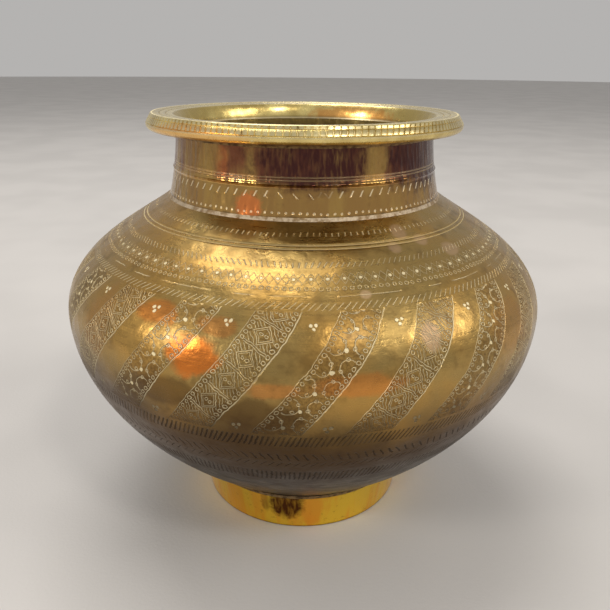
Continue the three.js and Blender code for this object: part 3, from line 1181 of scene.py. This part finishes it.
@dataclass
class MouthRim:
    """The heavy rim: a rolled lip, a milled band, two lines on its top and a funnel to the bore."""

    radius: float = 50.9
    base: float = 131.8
    height: float = 5.7
    neck_radius: float = 41.8
    wall: float = 1.6
    lip_height: float = 2.8
    lip_inset: float = 2.2
    lip_rise: float = 0.5
    lip_roll: float = 0.2
    lip_bulge: float = 0.1
    notch_depth: float = 0.28
    notch_rise: float = 0.13
    edge_start: float = 0.3
    edge_line_drop: float = 1.08
    edge_line_half: float = 0.14
    edge_line_depth: float = 0.2
    corner: float = 0.3
    corner_reach: float = 0.35
    top_fall: float = 0.5
    line_width: float = 0.55
    line_depth: float = 0.25
    funnel_flare: float = 0.6
    funnel_bend: float = 0.3
    top_inset: float = 1.65
    funnel_reach: float = 2.3
    funnel_depth: float = 5.0
    line_insets: tuple[float, float] = (2.7, 4.7)
    slot_count: int = 174
    slot_steps: int = 5
    slot_depth: float = 0.3
    slot_inset: float = 0.07
    slot_margins: tuple[float, float] = (0.25, 0.2)
    slot_reach: float = 0.6
    least_slot: float = 0.5
    slant: float = 1.5
    waver: float = 0.5
    slip: float = 1.1
    slip_angle: float = 0.75
    slip_width: float = 0.3

    @property
    def top_radius(self) -> float:
        """The radius of the rim's upper edge."""
        return self.radius - self.top_inset

    def face_radius(self, height: float) -> float:
        """The milled face's radius at a height."""
        share = (height - self.base - self.lip_height) / (self.height - self.lip_height)
        return self.radius - self.top_inset * share

    def band_depth(self, ground: Ground) -> Shade:
        """How far a point of the milled band lies under its face."""
        slope = self.top_inset / (self.height - self.lip_height)
        face = self.radius - (ground.height - (self.base + self.lip_height)) * slope
        lip_top = self.base + self.lip_height
        band = ground.board.ramp(ground.height, lip_top, lip_top + 0.2)
        near = ground.board.ramp(face - ground.radius, self.slot_depth * 2.5, self.slot_depth * 1.6)
        return (face - ground.radius) * band * near

    def outline(self) -> list[Point]:
        """The rim's section, from its seat outwards and round."""
        top = self.base + self.height
        lip_top = self.base + self.lip_height
        bore = self.neck_radius - self.wall
        lip = bezier([(self.radius - self.lip_inset, self.base + self.lip_rise),
                      (self.radius + self.lip_bulge, self.base + self.lip_rise + self.lip_roll),
                      (self.radius, lip_top)], 12)
        notch = [(self.radius - self.notch_depth, lip_top + self.notch_rise)]
        middle = top - self.edge_line_drop
        low, high = middle - self.edge_line_half, middle + self.edge_line_half
        edge = [(self.face_radius(height), height) for height in (lip_top + self.edge_start, low)]
        line = [(self.face_radius(middle) - self.edge_line_depth, middle), (self.face_radius(high), high)]
        corner = (self.top_radius - self.corner_reach, top)
        shoulder = bezier([(self.face_radius(top - self.corner), top - self.corner),
                           (self.top_radius + 0.02, top), corner], 4)
        flat = [corner, (bore + self.funnel_reach, top - self.top_fall)]
        places = [self.top_radius - place for place in self.line_insets]
        flat = grooved(flat, places, 0, self.line_width, self.line_depth)
        bend = top - self.top_fall - self.funnel_depth * self.funnel_bend
        funnel = bezier([flat[-1], (bore + self.funnel_flare, bend), (bore, self.base)], 16)
        return [(self.neck_radius, self.base)] + lip + notch + edge + line + shoulder + flat[1:] + funnel[1:]

    def lean_at(self, angle: float) -> float:
        """How far the tool leaned at an angle: a slow waver, and one slip at the right."""
        slip = math.exp(-((angle - self.slip_angle) / self.slip_width) ** 2) * self.slip
        return math.sin(angle * 3 + 0.2) * self.waver + slip

    def mill(self, turned: Turned) -> None:
        """Cuts the slots into the band and leans them, as the real tool wandered.

        Args:
            turned: the spun rim.
        """
        lip_top = self.base + self.lip_height
        low = (lip_top + self.slot_margins[0]) * MM
        high = (self.base + self.height - self.slot_margins[1]) * MM
        slots = []
        for face in turned.bm.faces:
            middle = face.calc_center_median()
            heights = [vert.co.z for vert in face.verts]
            on_band = math.hypot(middle.x, middle.y) >= (self.top_radius - self.slot_reach) * MM
            tall = max(heights) - min(heights) >= self.least_slot * MM
            if not (low < middle.z < high and on_band and tall):
                continue
            share = math.atan2(middle.x, -middle.y) / math.tau * self.slot_count * self.slot_steps
            if math.floor(share) % self.slot_steps == 0:
                slots.append(face)
        bmesh.ops.inset_individual(turned.bm, faces=slots, thickness=self.slot_inset * MM,
                                   depth=-self.slot_depth * MM, use_even_offset=True)
        for vert in turned.bm.verts:
            height = vert.co.z / MM - lip_top
            if height < 0.1 or math.hypot(vert.co.x, vert.co.y) < (self.top_radius - 1.0) * MM:
                continue
            lean = self.lean_at(math.atan2(vert.co.x, -vert.co.y))
            turn = math.radians(self.slant * lean * height / (self.height - self.lip_height))
            vert.co = Matrix.Rotation(turn, 4, "Z") @ vert.co

    def build(self, finish: MilledBrass) -> None:
        """Spins the rim and cuts its slots.

        Args:
            finish: its metal.
        """
        turned = Turned("milled_rim", self.slot_count * self.slot_steps)
        turned.spin(self.outline())
        self.mill(turned)
        turned.finish("mouth_rim", Slot.RIM, finish.material(self))


@dataclass
class FootRing:
    """The foot, a slightly waisted ring whose top follows the body's underside."""

    radius: float = 36.6
    flare: float = 2.4
    waist: float = 0.1
    wall: float = 2.0
    edge: float = 0.4
    height: float = 15.0
    gap: float = 0.3
    turns: int = 240

    def build(self, finish: PolishedBrass, body: BodyShell) -> None:
        """Spins the ring.

        Args:
            finish: its metal.
            body: the body that it carries.
        """
        top_radius = self.radius + self.flare
        under = body.bottom[:-1] + body.outside
        outer_top = crossing(under, top_radius, 0) - self.gap
        inner_top = crossing(under, top_radius - self.wall, 0) - self.gap
        foot = bezier([(self.radius - self.edge, 0.0), (self.radius, 0.0), (self.radius, self.edge)], 4)
        middle = (self.radius + self.flare / 2 - 2 * self.waist, self.height / 2)
        face = bezier([(self.radius, self.edge), middle, (top_radius, outer_top)], 24)
        turned = Turned("polished_foot", self.turns)
        inside_low, inside_high = (self.radius - self.wall, 0.0), (top_radius - self.wall, inner_top)
        turned.spin([inside_low] + foot + face[1:] + [inside_high])
        turned.finish("foot_ring", Slot.FOOT, finish.material(self))


@dataclass
class FillerBead:
    """A bead of filler in the corner of a joint, with an uneven round face."""

    name: str
    node: str
    corner: Point
    wall_way: Point
    seat_way: Point
    size: float
    fullness: float
    turns: int = 240

    def build(self, finish: FillerMetal) -> None:
        """Spins the bead.

        Args:
            finish: its metal.
        """
        corner = Vector(self.corner)
        on_wall = corner + Vector(self.wall_way).normalized() * self.size
        on_seat = corner + Vector(self.seat_way).normalized() * self.size
        bulge = on_wall.lerp(on_seat, 0.5).lerp(corner, 1.0 - self.fullness)
        face = bezier([tuple(on_seat), tuple(bulge), tuple(on_wall)], 8)
        turned = Turned(self.name, self.turns)
        turned.spin([tuple(corner)] + face)
        turned.finish(self.node, Slot.FILLER, finish.material())


@dataclass(frozen=True)
class Lamp:
    """One soft square lamp, with its place and size in metres and its power in watts."""

    name: str
    place: Point3
    size: float
    power: float
    colour: Point3 = (1.0, 0.95, 0.88)


@dataclass
class Studio:
    """The floor, the soft lamps and the camera."""

    camera_place: tuple[float, float, float] = (0.65, -214.1, 152.9)
    camera_pitch: float = 21.31
    camera_roll: float = 0.53
    focal_share: float = 628.1 / 610.0
    sensor: float = 36.0
    floor_colour: Colour = (0.60, 0.58, 0.56, 1.0)
    world_colour: Colour = (0.46, 0.45, 0.44, 1.0)
    floor_reach: float = 6.0
    aim: Point3 = (0.0, 0.0, 0.07)
    lamps: tuple[Lamp, ...] = (
        Lamp("left_softbox", (-0.95, -0.55, 0.62), 0.22, 4.2),
        Lamp("right_lamp", (0.42, -0.72, 1.02), 0.16, 2.4),
        Lamp("right_softbox", (1.1, -0.35, 0.85), 0.5, 5.0),
        Lamp("top_softbox", (-0.25, 0.45, 1.5), 0.9, 11.0, (1.0, 0.97, 0.93)),
    )

    def floor(self) -> None:
        """Lays the pale floor."""
        board = Board("pale_floor")
        ground = Ground(board)
        weave = board.noise(ground.place, 0.9, 2.0)
        cloud = board.noise(ground.place, 0.01, 2.0)
        tone = [round(channel * 0.93, 4) for channel in self.floor_colour[:3]] + [1.0]
        colour = board.mix(board.ramp(cloud, 0.35, 0.65), self.floor_colour, tuple(tone))
        material = board.metal(colour, 0.0, 0.85 + (weave - 0.5) * 0.1, (weave - 0.5) * 0.08)
        bm = bmesh.new()
        bmesh.ops.create_circle(bm, cap_ends=True, radius=self.floor_reach, segments=96)
        mesh = bpy.data.meshes.new("floor")
        bm.to_mesh(mesh)
        bm.free()
        mesh.materials.append(material)
        plane = bpy.data.objects.new("floor", mesh)
        bpy.context.scene.collection.objects.link(plane)

    def hang(self, lamp: Lamp) -> None:
        """Hangs one lamp so that it faces the pot.

        Args:
            lamp: its plan.
        """
        data = bpy.data.lights.new(lamp.name, "AREA")
        data.shape = "RECTANGLE"
        data.size = data.size_y = lamp.size
        data.energy = lamp.power
        data.color = lamp.colour
        hung = bpy.data.objects.new(lamp.name, data)
        hung.location = lamp.place
        hung.rotation_euler = (Vector(self.aim) - hung.location).to_track_quat("-Z", "Y").to_euler()
        bpy.context.scene.collection.objects.link(hung)

    def lights(self) -> None:
        """Hangs the lamps and sets the soft light all round."""
        world = bpy.data.worlds.new("soft_room")
        world.use_nodes = True
        background = world.node_tree.nodes["Background"]
        background.inputs["Color"].default_value = self.world_colour
        background.inputs["Strength"].default_value = 1.0
        bpy.context.scene.world = world
        for lamp in self.lamps:
            self.hang(lamp)

    def camera(self) -> None:
        """Stands the camera where the photograph was taken from."""
        data = bpy.data.cameras.new("camera")
        data.sensor_width = self.sensor
        data.lens = self.sensor * self.focal_share
        data.clip_start = 0.01
        camera = bpy.data.objects.new("camera", data)
        camera.location = Vector(self.camera_place) * MM
        tip = Matrix.Rotation(math.radians(90.0 - self.camera_pitch), 3, "X")
        roll = Matrix.Rotation(math.radians(self.camera_roll), 3, "Z")
        camera.rotation_euler = (tip @ roll).to_euler()
        bpy.context.scene.collection.objects.link(camera)
        bpy.context.scene.camera = camera

    def set_up(self) -> None:
        """Makes the whole studio."""
        bpy.context.scene.view_settings.view_transform = "Standard"
        self.camera()
        self.floor()
        self.lights()


class BrassPot:
    """The whole pot, built in the order that its maker would."""

    def __init__(self) -> None:
        """Sizes each piece."""
        self.body = BodyShell()
        self.collar = NeckCollar()
        self.rim = MouthRim()
        self.foot = FootRing()

    def beads(self) -> list[FillerBead]:
        """The beads of filler in the pot's three joints."""
        body, collar, rim = self.body, self.collar, self.rim
        neck = collar.outside
        shoulder = body.outside
        neck_wall = (neck[1][0] - neck[0][0], neck[1][1] - neck[0][1])
        slope = (shoulder[-2][0] - shoulder[-1][0], shoulder[-2][1] - shoulder[-1][1])
        rim_wall = (neck[-2][0] - neck[-1][0], neck[-2][1] - neck[-1][1])
        rim_seat = (rim.radius - rim.lip_inset - collar.top_radius, rim.lip_rise)
        belly = (shoulder[1][0] - shoulder[0][0], shoulder[1][1] - shoulder[0][1])
        foot_corner = (body.seat_radius, body.seat_height - self.foot.gap)
        return [
            FillerBead("neck_solder_bead", "neck_solder", neck[0], neck_wall, slope, 0.62, 0.95),
            FillerBead("rim_braze_bead", "rim_braze", neck[-1], rim_wall, rim_seat, 1.1, 0.7),
            FillerBead("foot_solder_bead", "foot_solder", foot_corner, (0.0, -1.0), belly, 1.0, 0.7),
        ]

    def build(self) -> None:
        """Builds and dresses every piece."""
        self.body.build(EngravedBrass(StripPlan()))
        self.collar.build(HammeredBrass())
        self.rim.build(MilledBrass())
        self.foot.build(PolishedBrass(), self.body)
        solder = FillerMetal("dusty_solder", (0.58, 0.47, 0.33, 1.0), (0.30, 0.20, 0.10, 1.0), 0.5)
        braze = FillerMetal("dark_braze", (0.30, 0.20, 0.09, 1.0), (0.10, 0.06, 0.03, 1.0), 0.8)
        fillers = [solder, braze, braze]
        for bead, metal in zip(self.beads(), fillers):
            bead.build(metal)


def main() -> None:
    """Builds the studio and the pot."""
    logging.basicConfig(level=logging.INFO, format="%(message)s")
    Studio().set_up()
    BrassPot().build()


if __name__ == "__main__":
    main()
